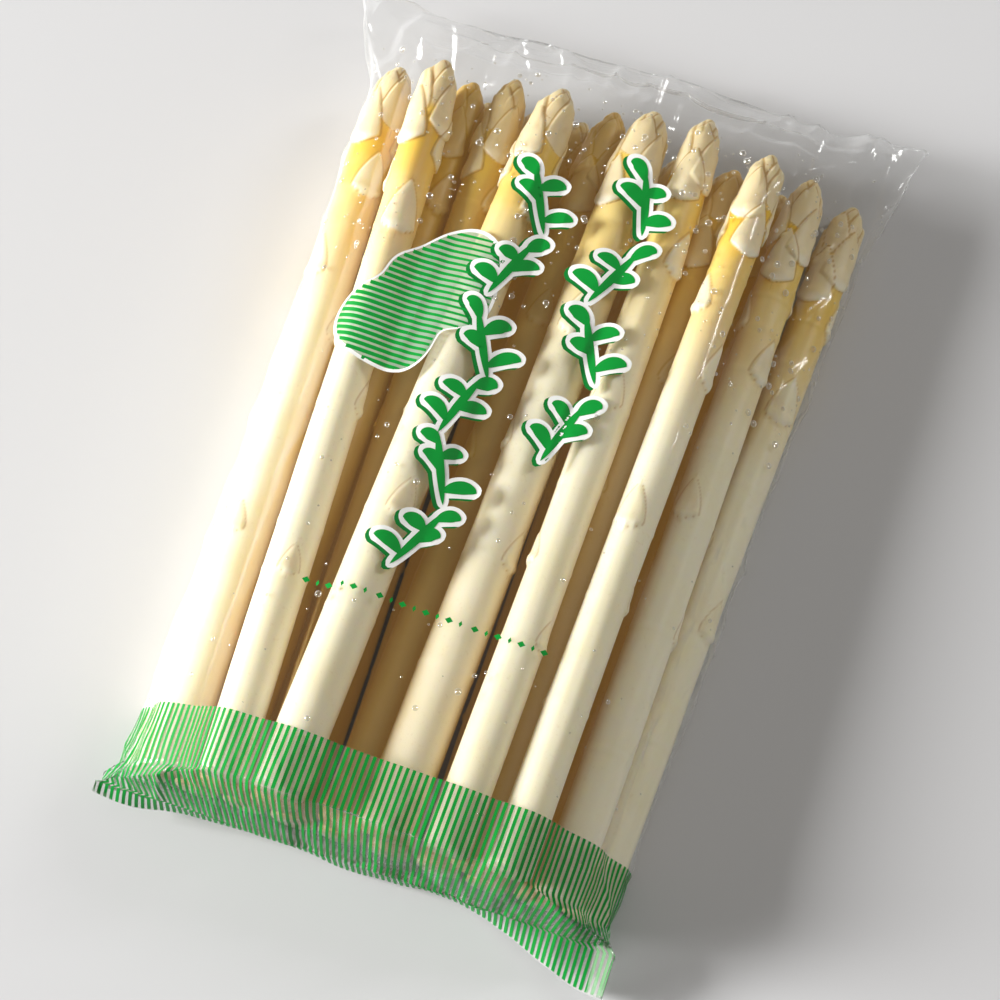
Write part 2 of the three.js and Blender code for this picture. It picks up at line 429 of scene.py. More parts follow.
def leaf_field(leaf, level, turn, radius):
    """Raised height, cover, base rim and outer crease of one leaf over a grid."""
    base, length, half_width, centre, thickness, soft, tucked = leaf
    up = (level - base) / length
    aside = ((turn - centre + math.pi) % (2 * math.pi) - math.pi) * radius
    leaf_part = np.clip(1 - np.clip(up, 0, 1) ** 1.7, 0, 1)
    spur_part = np.clip(1 + up / SPUR, 0, 1) ** 0.6
    outline = half_width * np.where(up > 0, leaf_part, spur_part)
    inside = outline - np.abs(aside)
    inside = np.where((up > -SPUR) & (up < 1), inside, -np.abs(aside) - 0.5 * MM)
    cover = smooth_step(-0.3 * soft, 1.1 * soft, inside)
    crown = 1 - np.clip(np.abs(aside) / np.maximum(half_width, 1e-9), 0, 1) ** 2
    heel = np.exp(-((up - 0.02) / 0.13) ** 2)
    veins = 0.06 * np.cos(aside / VEIN_WIDTH) * (1 - up)
    if tucked:
        height = cover * thickness * smooth_step(-0.1, 0.6, up) * (1.1 + 0.5 * crown)
        rim = np.zeros_like(cover)
    else:
        height = cover * thickness * (0.6 + 0.85 * crown * (1 - 0.6 * up) + 0.8 * heel + veins)
        rim = cover * np.exp(-((up + 0.12) / 0.13) ** 2)
    # The crease is a thin band just outside the leaf's edge, which the skin paints as shade
    crease = np.exp(-((inside + 0.3 * MM) / soft) ** 2) * (np.abs(up - 0.35) < 0.75)
    crease *= (TUCKED_CREASE if tucked else STEM_CREASE) / soft
    return height, cover, rim, crease


sample_leaf = (0, 10 * MM, 4 * MM, 0, 0.5 * MM, 0.35 * MM, False)
sample_height = leaf_field(sample_leaf, np.array([3 * MM]), np.array([0.0]), 8 * MM)[0]
print("a leaf stands out by, mm:", round(float(sample_height[0]) / MM, 2))

# %% The surface of one spear
SLIMMER = 0.955
BUD_TAPER = 0.18
STEM_STEP, BUD_STEP = 1.05 * MM, 0.42 * MM
NODE_SWELLING = 0.16 * MM
STEM_SOFTNESS = 0.4 * MM


def spear_surface(spear, seed, columns):
    """Level, turn, radius and leaf masks of every grid point, and the grid's levels."""
    random = np.random.default_rng(seed)
    length = spear["length"]
    stem_end = length - 1.7 * BUD_LENGTH
    levels = np.concatenate([
        [0.25 * MM, 0.7 * MM, 1.4 * MM],
        np.arange(2.4 * MM, stem_end, STEM_STEP),
        np.arange(stem_end, length - 0.5 * MM, BUD_STEP),
        [length - 0.25 * MM],
    ])
    turns = np.linspace(0, 2 * math.pi, columns, endpoint=False)
    level, turn = (grid.ravel() for grid in np.meshgrid(levels, turns, indexing="ij"))
    radius = SLIMMER * np.interp(level, spear["levels"], spear["radii"])
    radius *= 1 - BUD_TAPER * np.exp(-(length - level) / (9 * MM))
    worn = 0.8 * MM * np.clip(1 - level / (1.4 * MM), 0, 1) ** 2
    ridges = 0.07 * MM * value_noise(np.stack(
        [level / (60 * MM), 3 * np.cos(turn) + 9, 3 * np.sin(turn) + 9], 1), seed)
    lumps = 0.28 * MM * value_noise(np.stack(
        [level / (47 * MM), 0.9 * np.cos(turn) + 5, 0.9 * np.sin(turn) + 5], 1), seed + 1)
    fade = np.clip((length - level) / (12 * MM), 0.15, 1)
    height = (ridges + lumps) * fade
    cover, rim, crease = np.zeros_like(level), np.zeros_like(level), np.zeros_like(level)
    for leaf in reversed(leaves_of(spear, random)):
        raised, covered, rimmed, creased = leaf_field(leaf, level, turn, radius)
        node_ring = np.exp(-((level - leaf[0]) / (0.9 * MM)) ** 2)
        height += raised * np.clip((length - level) / (7 * MM), 0.25, 1)
        height += NODE_SWELLING * node_ring * (leaf[5] > STEM_SOFTNESS)
        crease = np.maximum(crease * (1 - covered), creased)
        rim = np.maximum(rim * (1 - covered), rimmed)
        cover = np.maximum(cover, covered)
    radius = radius - worn + height
    return level, turn, radius, cover, rim, crease, levels


thickest = spear_surface(spears[0], 0, 24)[2].max()
print("thickest spot of", spears[0]["name"], "mm:", round(2 * thickest / MM, 1))

# %% One spear as a mesh
BOW = 0.55 * MM
CLEAR_OF_FILM = 0.2 * MM


def build_spear(spear, seed, columns, material):
    level, turn, radius, cover, rim, crease, levels = spear_surface(spear, seed, columns)
    random = np.random.default_rng(seed + 500)
    along = spear["along"]
    side = np.cross(along, (0, 0, 1))
    side /= np.linalg.norm(side)
    top = np.cross(side, along)
    bow_side, bow_top = BOW * random.uniform(-1, 1, 2)
    bow = np.sin(math.pi * level / spear["length"])
    points = (spear["butt"] + np.outer(level, along)
              + np.outer(radius * np.cos(turn) + bow_side * bow, side)
              + np.outer(radius * np.sin(turn) + bow_top * bow, top))
    points[:, 2] = np.maximum(points[:, 2], FILM_LOWEST + CLEAR_OF_FILM)
    ends = np.array([spear["butt"], spear["butt"] + spear["length"] * along])
    count = len(points)
    last = count - columns
    faces = grid_faces(len(levels), columns)[:, ::-1].tolist()
    for step in range(columns):
        after = (step + 1) % columns
        faces.append((step, after, count))
        faces.append((count + 1, last + after, last + step))
    piece = mesh_object("stalk_" + spear["name"].removeprefix("spear_"),
                        np.vstack([points, ends]), faces, material)
    masks = {
        "leaf": np.append(cover, [0, 1]),
        "leaf_rim": np.append(rim, [0, 0]),
        "crease": np.append(crease, [0, 0]),
        "from_bud": (spear["length"] - np.append(level, [0, spear["length"]])) / MM,
        # How deep a spot lies in the bundle; the skin turns it into painted shade and a faint
        # painted emission
        "buried": buried_depth(np.vstack([points, ends])) / MM,
    }
    for name, values in masks.items():
        layer = piece.data.attributes.new(name, "FLOAT", "POINT")
        layer.data.foreach_set("value", values.astype(np.float32))
    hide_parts(spear["name"])
    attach(piece, "root")
    return piece


print("masks say how far a spot is from the bud, up to, mm:", round(spears[0]["length"] / MM))

# %% [markdown]
# ## Skin
#
# A blanched spear is cream at the butt and lemon yellow under the bud, where it is youngest. Its
# leaves are paler, with a whitish foot. The crease just outside each leaf's edge is painted dark
# brown, as painted shade. Spears deep in the bundle are painted ochre, as painted shade, and given
# a faint amber emission, as painted light, for the light that only reaches them through their
# neighbours. Colour is mixed from the masks on the mesh, and light is let into the surface, as
# in all soft plants.

# %% Skin of a spear
def spear_material():
    material, tree, shader = new_material("asparagus")

    def mask(name):
        return add_node(tree, "ShaderNodeAttribute", attribute_name=name).outputs["Fac"]

    def mix(factor, first, second):
        return add_node(tree, "ShaderNodeMix", {0: factor, 6: first, 7: second},
                        data_type="RGBA").outputs[2]

    def span(source, low, high, low_value=0.0, high_value=1.0):
        node = add_node(tree, "ShaderNodeMapRange", {0: source, 1: low, 2: high,
                                                     3: low_value, 4: high_value})
        node.interpolation_type = "SMOOTHSTEP"
        return node.outputs[0]

    place = add_node(tree, "ShaderNodeTexCoord").outputs["Object"]
    cloud = add_node(tree, "ShaderNodeTexNoise", {"Vector": place, "Scale": 55.0, "Detail": 3.0})
    speck = add_node(tree, "ShaderNodeTexNoise", {"Vector": place, "Scale": 900.0, "Detail": 2.0})

    stem = mix(span(mask("from_bud"), 15, 110), (0.86, 0.55, 0.015, 1), (0.95, 0.88, 0.68, 1))
    stem = mix(span(cloud.outputs[0], 0.35, 0.75, 0, 0.35), stem, (0.92, 0.83, 0.50, 1))
    leaf = mix(span(mask("from_bud"), 0, 60), (0.80, 0.66, 0.39, 1), (0.93, 0.85, 0.62, 1))
    leaf = mix(span(cloud.outputs[0], 0.4, 0.7, 0, 0.4), leaf, (0.74, 0.60, 0.35, 1))
    tip = span(mask("from_bud"), 17, 21, 1, 0)
    skin = mix(mask("leaf"), mix(tip, stem, leaf), leaf)
    skin = mix(span(mask("leaf_rim"), 0.2, 1.0, 0, 0.6), skin, (0.93, 0.88, 0.74, 1))
    # Dark brown along the crease outside each leaf's edge is painted shade
    skin = mix(span(mask("crease"), 0.2, 1.0, 0, 0.7), skin, (0.50, 0.29, 0.06, 1))
    skin = mix(span(speck.outputs[0], 0.62, 0.72, 0, 0.15), skin, (0.66, 0.50, 0.26, 1))
    # Deeper spots get ochre painted shade and a faint amber emission, which is painted light
    deep = span(mask("buried"), 4, 17)
    shade = add_node(tree, "ShaderNodeMath", {0: deep, 1: 0.8}, operation="MULTIPLY").outputs[0]
    skin = mix(shade, skin, (0.52, 0.30, 0.01, 1))
    painted_glow = add_node(tree, "ShaderNodeMath", {0: deep, 1: 0.05}, operation="MULTIPLY").outputs[0]
    tree.links.new(painted_glow, shader.inputs["Emission Strength"])
    shader.inputs["Emission Color"].default_value = (0.85, 0.46, 0.02, 1)
    tree.links.new(skin, shader.inputs["Base Color"])
    shader.inputs["Roughness"].default_value = 0.42
    shader.inputs["Subsurface Weight"].default_value = 0.45
    shader.inputs["Subsurface Radius"].default_value = (1.0, 0.82, 0.34)
    shader.inputs["Subsurface Scale"].default_value = 0.006
    shader.inputs["Specular IOR Level"].default_value = 0.4
    return material


asparagus = spear_material()
print("nodes in the skin:", len(asparagus.node_tree.nodes))

# %% Build the spears
SEEN_COLUMNS, HIDDEN_COLUMNS = 104, 56
FIRST_SEED, SEED_STEP = 40, 7
stalks = []
for index, spear in enumerate(spears):
    columns = HIDDEN_COLUMNS if "bottom" in spear["name"] else SEEN_COLUMNS
    stalks.append(build_spear(spear, FIRST_SEED + SEED_STEP * index, columns, asparagus))
print("spears:", len(stalks), "faces:", sum(len(s.data.polygons) for s in stalks))

# %% [markdown]
# ## The film's surface
#
# Taut film sags a little where nothing is behind it, and it keeps the creases it was packed
# with. Both are offsets along the surface: the sag follows the gap to the nearest spear, and the
# creases are folded noise, long and faint along the body, strong at the seal and at the end.

# %% The film's plain grid
FILM_COLUMNS = 400
seal_rows = np.linspace(seal_edge, seal_root, 13)[:-1]
face_rows = seal_root + FACE_RUN * np.linspace(0, 1, 25)[:-1]
body_rows = np.linspace(face_top, shoulder, 118)[:-1]
closing_rows = np.linspace(shoulder, closed_end, 38)
film_rows = np.concatenate([seal_rows, face_rows, body_rows, closing_rows])
film_points = np.array([film_ring(y, FILM_COLUMNS) for y in film_rows])
print("film grid, rows and columns:", film_points.shape[:2])

# %% Gaps behind the film
FURTHEST_GAP = 20 * MM


def outward(points):
    across = np.roll(points, -1, axis=1) - np.roll(points, 1, axis=1)
    normal = np.cross(across, np.gradient(points, axis=0))
    normal /= np.maximum(np.linalg.norm(normal, axis=2, keepdims=True), 1e-12)
    return -normal


def film_gaps():
    gaps = np.zeros(film_points.shape[:2])
    for row, y in enumerate(film_rows):
        centres, radii = spear_discs(np.clip(y, cut_plane + MM, None), y < shoulder)
        if len(radii):
            apart = film_points[row][:, None, [0, 2]] - centres[None]
            gaps[row] = (np.linalg.norm(apart, axis=2) - radii).min(axis=1)
        else:
            gaps[row] = FURTHEST_GAP
    return np.clip(gaps - FILM_EASE, 0, FURTHEST_GAP)


print("film with nothing close behind it:", round(float((film_gaps() > 3 * MM).mean()), 2))

# %% Sag and creases
def sharp_fold(noise, power=4):
    return (1 - np.abs(noise)) ** power


def film_relief():
    """How far each point of the film moves along its normal."""
    girth = np.linalg.norm(np.roll(film_points, -1, 1) - film_points, axis=2).sum(axis=1)
    around = (np.arange(FILM_COLUMNS) / FILM_COLUMNS - 0.5)[None] * girth[:, None]
    along = np.broadcast_to(film_rows[:, None], around.shape)
    s, y = around.ravel() / MM, along.ravel() / MM
    lengthwise = sharp_fold(value_noise(np.stack([s / 11, y / 90], 1), 11))
    diagonal = sharp_fold(value_noise(np.stack([(s + 0.5 * y) / 13, (y - 0.5 * s) / 50], 1), 12))
    counter = sharp_fold(value_noise(np.stack([(s - 0.8 * y) / 16, (y + 0.8 * s) / 40], 1), 13))
    crinkle = value_noise(np.stack([s / 5, y / 9], 1), 14)
    billow = value_noise(np.stack([s / 26, y / 30], 1), 15)
    at_end = smooth_step(shoulder - 5 * MM, closed_end - 8 * MM, along).ravel()
    at_seal = (1 - smooth_step(face_top - 2 * MM, face_top + 22 * MM, along)).ravel()
    at_side = smooth_step(58, 76, np.abs(film_points[:, :, 0]) / MM).ravel()
    strength = 0.45 + 2.1 * at_end + 0.7 * at_seal + 1.7 * at_side
    relief = strength * (0.7 * lengthwise + 0.45 * diagonal + 0.35 * counter - 0.5)
    relief += 0.10 * crinkle * (0.6 + strength) + billow * (1.6 * at_end + 0.5 * at_seal)
    gaps = film_gaps().ravel() / MM
    free = np.clip(1 - at_end * 0.7, 0, 1)
    relief = np.maximum(relief, -0.3 - gaps) - free * np.clip(0.25 * gaps, 0, 1.6)
    return relief.reshape(film_points.shape[:2]) * MM


relief = film_relief()
film_points = film_points + outward(film_points) * relief[:, :, None]
print("creases and sag, mm:", round(relief.min() / MM, 1), "to", round(relief.max() / MM, 1))

# %% Wave the seal and the closed end
RIB_PITCH, RIB_DEPTH, RIB_ZONE = 1.7 * MM, 0.12 * MM, 9 * MM
seal_share = np.clip((seal_root - film_rows) / (seal_root - seal_edge), 0, 1)[:, None]
end_share = smooth_step(closed_end - 26 * MM, closed_end, film_rows)[:, None]


def wave(x, width, seed):
    points = np.stack([x.ravel() / width, np.full(x.size, 0.37)], axis=1)
    return value_noise(points, seed).reshape(x.shape)


film_x = film_points[:, :, 0].copy()
ear = smooth_step(66 * MM, 82 * MM, np.abs(film_x))
pleats = wave(film_x, 7 * MM, 21) + 0.8 * wave(film_x, 19 * MM, 22) + 1.1
droop = SEAL_DROOP * (1 + 0.5 * wave(film_x, 30 * MM, 26) - 0.5 * ear)
film_points[:, :, 2] += seal_share * (1.7 * MM * pleats - 1.5 * MM) - seal_share ** 1.4 * droop
pulled = 7.5 - 14 * smooth_step(28, 80, film_x / MM) - 4 * smooth_step(52, 74, -film_x / MM)
film_points[:, :, 1] += seal_share * MM * (1.4 * wave(film_x, 24 * MM, 23) + pulled)
film_points[:, :, 2] += end_share * MM * (2.6 * wave(film_x, 15 * MM, 24) + 4 * ear)
film_points[:, :, 1] += end_share * 2.2 * MM * wave(film_x, 33 * MM, 25)
ribs = np.sin((closed_end - film_rows) / RIB_PITCH * 2 * math.pi)[:, None]
film_points[:, :, 2] += RIB_DEPTH * ribs * (film_rows > closed_end - RIB_ZONE)[:, None]
film_points[:, :, 2] = np.maximum(film_points[:, :, 2], FILM_LOWEST)
print("seal edge runs between, mm:", (film_points[0, :, 1].min() / MM).round(1), "and",
      (film_points[0, :, 1].max() / MM).round(1))

# %% [markdown]
# ## Clear film
#
# Thin film hardly bends light, so it is see-through rather than glass: most light goes straight
# on. A little whitish haze shows where the film is seen edge on, which is what draws its folds
# and its outline, and a soft gloss that grows at shallow angles gives it the wet shine.

# %% Film material


def film_look():
    material, tree, shader = new_material("film")
    tree.nodes.remove(shader)
    output = tree.nodes["Material Output"]
    grazing = add_node(tree, "ShaderNodeLayerWeight", {"Blend": 0.35}).outputs["Facing"]
    haze_share = add_node(tree, "ShaderNodeMapRange",
                          {0: grazing, 1: 0.3, 2: 1.0, 3: 0.012, 4: 0.36}).outputs[0]
    clear = add_node(tree, "ShaderNodeBsdfTransparent", {"Color": (0.995, 0.997, 0.995, 1)})
    haze = add_node(tree, "ShaderNodeBsdfDiffuse", {"Color": (0.93, 0.95, 0.96, 1)})
    body = add_node(tree, "ShaderNodeMixShader",
                    {0: haze_share, 1: clear.outputs[0], 2: haze.outputs[0]})
    shine = add_node(tree, "ShaderNodeBsdfGlossy", {"Color": (1, 1, 1, 1), "Roughness": 0.13})
    fresnel = add_node(tree, "ShaderNodeFresnel", {"IOR": 1.34}).outputs[0]
    mirror = add_node(tree, "ShaderNodeMath", {0: fresnel, 1: 0.17}, operation="MINIMUM").outputs[0]
    film = add_node(tree, "ShaderNodeMixShader",
                    {0: mirror, 1: body.outputs[0], 2: shine.outputs[0]})
    tree.links.new(film.outputs[0], output.inputs["Surface"])
    return material


clear_film = film_look()
print("nodes in the film:", len(clear_film.node_tree.nodes))

# %% Build the film


def pressed_end(start, columns):
    """Faces that join the lower panel's edge to the upper one's, from the middle outward."""
    faces = []
    half = columns // 2
    for step in range(columns // 4):
        right = (step, step + 1, half - step - 1, half - step)
        left = (half + step, half + step + 1, (columns - step - 1), (columns - step) % columns)
        for face in (right, left):
            faces.append([start + corner for corner in dict.fromkeys(face)])
    return faces


rows = len(film_rows)
film_faces = grid_faces(rows, FILM_COLUMNS)[:, ::-1].tolist()
film_faces += pressed_end(0, FILM_COLUMNS)
film_faces += [face[::-1] for face in pressed_end((rows - 1) * FILM_COLUMNS, FILM_COLUMNS)]
bag = mesh_object("film", film_points.reshape(-1, 3), film_faces, clear_film)
print("film: rows", rows, "faces", len(bag.data.polygons))

# %% Lay the film flat in its UV map
FILM_UNIT = 0.4
run_along = np.linalg.norm(np.diff(film_points[:, FILM_COLUMNS // 2], axis=0), axis=1)
film_v = np.concatenate([[0], np.cumsum(run_along)])
uv_layer = bag.data.uv_layers.new(name="film_uv")
loop_vertex = np.empty(len(bag.data.loops), np.int32)
bag.data.loops.foreach_get("vertex_index", loop_vertex)
column = (loop_vertex % FILM_COLUMNS).astype(float)
loop_row = loop_vertex // FILM_COLUMNS
polygon_of = np.repeat(np.arange(len(bag.data.polygons)),
                       [len(p.vertices) for p in bag.data.polygons])
wraps = (polygon_of % FILM_COLUMNS == FILM_COLUMNS - 1) & (column == 0)
column[wraps] = FILM_COLUMNS
uv_layer.data.foreach_set("uv", np.stack(
    [column / FILM_COLUMNS, film_v[loop_row] / FILM_UNIT], axis=1).ravel().astype(np.float32))
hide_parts("film_bag")
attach(bag, "root")
print("film along its top, mm:", round(film_v[-1] / MM, 1))


# %% [markdown]
# ## Print on the film
#
# Print lies flat before the film is wrapped, so it is drawn flat too: X is the share of the way
# round the film and Y the way along it, which are the coordinates of the film's own UV map. A
# small node tree then looks up where each flat point lands on the film and lifts it a hair off.
# A band of fine stripes at the seal, two columns of leafy sprigs, a striped leaf and a row of
# small marks make a plain, made-up decoration.

# %% Inks


def ink(name, colour, roughness=0.55, alpha=1.0):
    material, tree, shader = new_material(name)
    shader.inputs["Base Color"].default_value = (*colour, 1)
    shader.inputs["Roughness"].default_value = roughness
    shader.inputs["Specular IOR Level"].default_value = 0.25
    shader.inputs["Alpha"].default_value = alpha
    return material


green = ink("green_ink", (0.0, 0.30, 0.035))
dark_green = ink("dark_green_ink", (0.0, 0.19, 0.025))
white = ink("white_ink", (0.92, 0.93, 0.91))
tint = ink("white_tint", (0.95, 0.89, 0.86), alpha=0.16)
mint = ink("mint_tint", (0.55, 0.85, 0.66), alpha=0.45)
print("inks:", [colour.name for colour in (green, dark_green, white, tint, mint)])

# %% The tree that lays a drawing on the film


def new_tree(name, inputs):
    tree = bpy.data.node_groups.new(name, "GeometryNodeTree")
    for label, kind in inputs:
        tree.interface.new_socket(label, in_out="INPUT", socket_type=kind)
    tree.interface.new_socket("Geometry", in_out="OUTPUT", socket_type="NodeSocketGeometry")
    return tree, tree.nodes.new("NodeGroupInput"), tree.nodes.new("NodeGroupOutput")


def lay_on_film(tree, flat, film, lift, material):
    """Nodes that move flat geometry onto the film and give it its ink."""
    surface = add_node(tree, "GeometryNodeObjectInfo", {"Object": film}).outputs["Geometry"]
    uv = add_node(tree, "GeometryNodeInputNamedAttribute", {"Name": "film_uv"},
                  data_type="FLOAT_VECTOR").outputs["Attribute"]
    drawn = add_node(tree, "ShaderNodeSeparateXYZ",
                     {0: add_node(tree, "GeometryNodeInputPosition").outputs[0]})
    spot = add_node(tree, "ShaderNodeCombineXYZ", {0: drawn.outputs[0], 1: drawn.outputs[1]})
    looked_up = []
    for kind in ("GeometryNodeInputPosition", "GeometryNodeInputNormal"):
        sample = add_node(tree, "GeometryNodeSampleUVSurface", data_type="FLOAT_VECTOR")
        for socket, source in (("Mesh", surface), ("Value", add_node(tree, kind).outputs[0]),
                               ("Source UV Map", uv), ("Sample UV", spot.outputs[0])):
            tree.links.new(source, sample.inputs[socket])
        looked_up.append(sample.outputs[0])
    raised = add_node(tree, "ShaderNodeVectorMath", {0: looked_up[1], "Scale": lift},
                      operation="SCALE")
    landed = add_node(tree, "ShaderNodeVectorMath", {0: looked_up[0], 1: raised.outputs[0]},
                      operation="ADD").outputs[0]
    placed = add_node(tree, "GeometryNodeSetPosition", {"Geometry": flat, "Position": landed})
    real = add_node(tree, "GeometryNodeRealizeInstances", {0: placed.outputs[0]})
    inked = add_node(tree, "GeometryNodeSetMaterial",
                     {"Geometry": real.outputs[0], "Material": material})
    return inked.outputs[0]


def print_tree():
    tree, given, result = new_tree("print_on_film", (
        ("Drawing", "NodeSocketGeometry"), ("Film", "NodeSocketObject"),
        ("Lift", "NodeSocketFloat"), ("Ink", "NodeSocketMaterial")))
    laid = lay_on_film(tree, given.outputs["Drawing"], given.outputs["Film"],
                       given.outputs["Lift"], given.outputs["Ink"])
    tree.links.new(laid, result.inputs[0])
    return tree


laying = print_tree()
print("inputs:", [item.name for item in laying.interface.items_tree if item.in_out == "INPUT"])

# %% Run a tree and keep its mesh
def run_tree(piece, tree, **values):
    """Runs a tree on a piece and keeps the result as the piece's plain mesh."""
    modifier = piece.modifiers.new("nodes", "NODES")
    modifier.node_group = tree
    for item in tree.interface.items_tree:
        if item.in_out == "INPUT" and item.name in values:
            modifier[item.identifier] = values[item.name]
    depsgraph = bpy.context.evaluated_depsgraph_get()
    made = bpy.data.meshes.new_from_object(piece.evaluated_get(depsgraph), depsgraph=depsgraph)
    piece.modifiers.remove(modifier)
    piece.data = made
    made.name = piece.name
    return piece


def finish_print(piece):
    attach(piece, "root")
    print(piece.name, "faces", len(piece.data.polygons))


print("trees so far:", [tree.name for tree in bpy.data.node_groups])

# %% The striped band
BAND_TOP = -106 * MM
BAND_BOTTOM = 0.002
STRIPES = 176
STRIPE_SHARE = 0.5
STRIPE_LIFT = 0.22 * MM
band_v = np.interp(BAND_TOP, film_points[:, FILM_COLUMNS // 2, 1], film_v) / FILM_UNIT


def stripe_tree():
    tree, given, result = new_tree("film_stripes", (
        ("Drawing", "NodeSocketGeometry"), ("Film", "NodeSocketObject"),
        ("Lift", "NodeSocketFloat"), ("Ink", "NodeSocketMaterial"),
        ("Count", "NodeSocketInt"), ("Width", "NodeSocketFloat"),
        ("Length", "NodeSocketFloat"), ("First", "NodeSocketVector"),
        ("Pitch", "NodeSocketVector")))
    stripe = add_node(tree, "GeometryNodeMeshGrid", {
        "Size X": given.outputs["Width"], "Size Y": given.outputs["Length"],
        "Vertices X": 2, "Vertices Y": 96}).outputs[0]
    line = add_node(tree, "GeometryNodeMeshLine", {
        "Count": given.outputs["Count"], "Start Location": given.outputs["First"],
        "Offset": given.outputs["Pitch"]}).outputs[0]
    copies = add_node(tree, "GeometryNodeInstanceOnPoints",
                      {"Points": line, "Instance": stripe}).outputs[0]
    joined = add_node(tree, "GeometryNodeRealizeInstances", {0: copies}).outputs[0]
    flat = add_node(tree, "GeometryNodeFlipFaces", {0: joined}).outputs[0]
    laid = lay_on_film(tree, flat, given.outputs["Film"], given.outputs["Lift"],
                       given.outputs["Ink"])
    tree.links.new(laid, result.inputs[0])
    return tree


band = mesh_object("stripe_print", [(0, 0, 0)], [])
band_length = band_v - 2 * BAND_BOTTOM
run_tree(band, stripe_tree(), Film=bag, Lift=STRIPE_LIFT, Ink=green, Count=STRIPES,
         Width=STRIPE_SHARE / STRIPES, Length=band_length,
         First=(0.5 / STRIPES, BAND_BOTTOM + band_length / 2, 0), Pitch=(1 / STRIPES, 0, 0))
finish_print(band)

# %% Ribbons and brush strokes


def strip(left, right, across=4):
    """Points and faces of a ribbon between two lines of flat points."""
    share = np.linspace(0, 1, across)[None, :, None]
    points = left[:, None] * (1 - share) + right[:, None] * share
    return points.reshape(-1, 2), grid_faces(len(left), across, closed=False)


def stroke(control, width, margin=0.0, steps=26):
    """A brush stroke: a curve through three control points, widest in its middle."""
    t = np.linspace(0, 1, steps)[:, None]
    a, b, c = (np.array(point, float) for point in control)
    centre = (1 - t) ** 2 * a + 2 * t * (1 - t) * b + t ** 2 * c
    heading = np.gradient(centre, axis=0)
    heading /= np.linalg.norm(heading, axis=1, keepdims=True)
    centre = centre + margin * heading * (2 * t - 1)
    half = 0.5 * width * np.sin(math.pi * np.clip(t, 0.001, 0.999)) ** 0.6 + margin
    half *= np.minimum(1, np.minimum(t, 1 - t) * 14 + 0.35)
    side = heading[:, ::-1] * (-1, 1) * half
    return strip(centre + side, centre - side)


print("points in a brush stroke:", len(stroke(((0, 0), (1, 2), (0, 5)), 2)[0]))

# %% Drawings on the film
STEEP, STEEP_PENALTY = 0.2, 10


def gather(parts):
    points, faces, start = [], [], 0
    for part_points, part_faces in parts:
        points.append(part_points)
        faces.append(part_faces + start)
        start += len(part_points)
    return np.vstack(points), np.vstack(faces)


def on_film(points, x, y):
    """Moves a flat drawing in millimetres to the spot of the film above x, y."""
    upper_half = slice(FILM_COLUMNS // 4, 3 * FILM_COLUMNS // 4 + 1)
    top = film_points[:, upper_half]
    offset = np.abs(top[:, :, 0] - x * MM) + np.abs(top[:, :, 1] - y * MM)
    offset += STEEP_PENALTY * (outward(film_points)[:, upper_half, 2] < STEEP)
    row, place = np.unravel_index(offset.argmin(), offset.shape)
    loop = film_points[row]
    girth = np.linalg.norm(np.roll(loop, -1, axis=0) - loop, axis=1).sum()
    u = (place + FILM_COLUMNS // 4) / FILM_COLUMNS - points[:, 0] * MM / girth
    v = film_v[row] / FILM_UNIT + points[:, 1] * MM / FILM_UNIT
    return np.stack([u, v, np.zeros(len(u))], axis=1)


def facing_out(points, faces):
    """Turns quads round where needed, so that on the film they look away from the bundle."""
    first = points[faces[:, 2]] - points[faces[:, 0]]
    second = points[faces[:, 3]] - points[faces[:, 1]]
    area = first[:, 0] * second[:, 1] - first[:, 1] * second[:, 0]
    return np.where(area[:, None] > 0, faces[:, ::-1], faces)


def print_drawing(name, drawings, lift, material):
    """drawings is a list of (points, faces, x, y); lift is in millimetres."""
    points, faces = gather([(on_film(p, x, y), f) for p, f, x, y in drawings])
    piece = mesh_object(name, points, facing_out(points, faces).tolist())
    run_tree(piece, laying, Film=bag, Lift=lift * MM, Ink=material)
    finish_print(piece)
    return piece


centre_spot = on_film(np.zeros((1, 2)), 0, 0)[0]
print("middle of the film in its UV map:", centre_spot.round(3))

# %% The pale ground of the band
GROUND_LIFT = 0.05
EDGE_POINTS = 401
band_edge = np.stack([np.linspace(0.002, 0.998, EDGE_POINTS), np.full(EDGE_POINTS, 0.001)], axis=1)
ground_points, ground_faces = strip(band_edge + (0, band_v - 0.003), band_edge, across=96)
ground = mesh_object("band_ground_print", np.c_[ground_points, np.zeros(len(ground_points))],
                     facing_out(ground_points, ground_faces).tolist())
run_tree(ground, laying, Film=bag, Lift=GROUND_LIFT * MM, Ink=tint)
finish_print(ground)

# %% The shape of a sprig
def sprig_strokes(seed):
    """A stem and its leaves, as strokes in a square of about 20 mm."""
    random = np.random.default_rng(seed)
    lean = random.uniform(-0.5, 0.5)
    root, bend, tip = (-4 - 3 * lean, -10), (2 * lean, 0), (4 + 3 * lean, 9.5)
    strokes = [((root, bend, tip), 2.6)]
    for order, share in enumerate((0.18, 0.42, 0.62, 0.82)):
        side = 1 if order % 2 else -1
        x = (1 - share) * root[0] + share * tip[0]
        y = (1 - share) * root[1] + share * tip[1]
        reach = random.uniform(7.5, 10) * (1 - 0.35 * share)
        rise = random.uniform(1.5, 5)
        strokes.append((((x, y), (x + 0.5 * side * reach, y + rise + 1.5),
                         (x + side * reach, y + rise)), random.uniform(3.6, 4.6)))
    return strokes


print("strokes in a sprig:", len(sprig_strokes(0)))

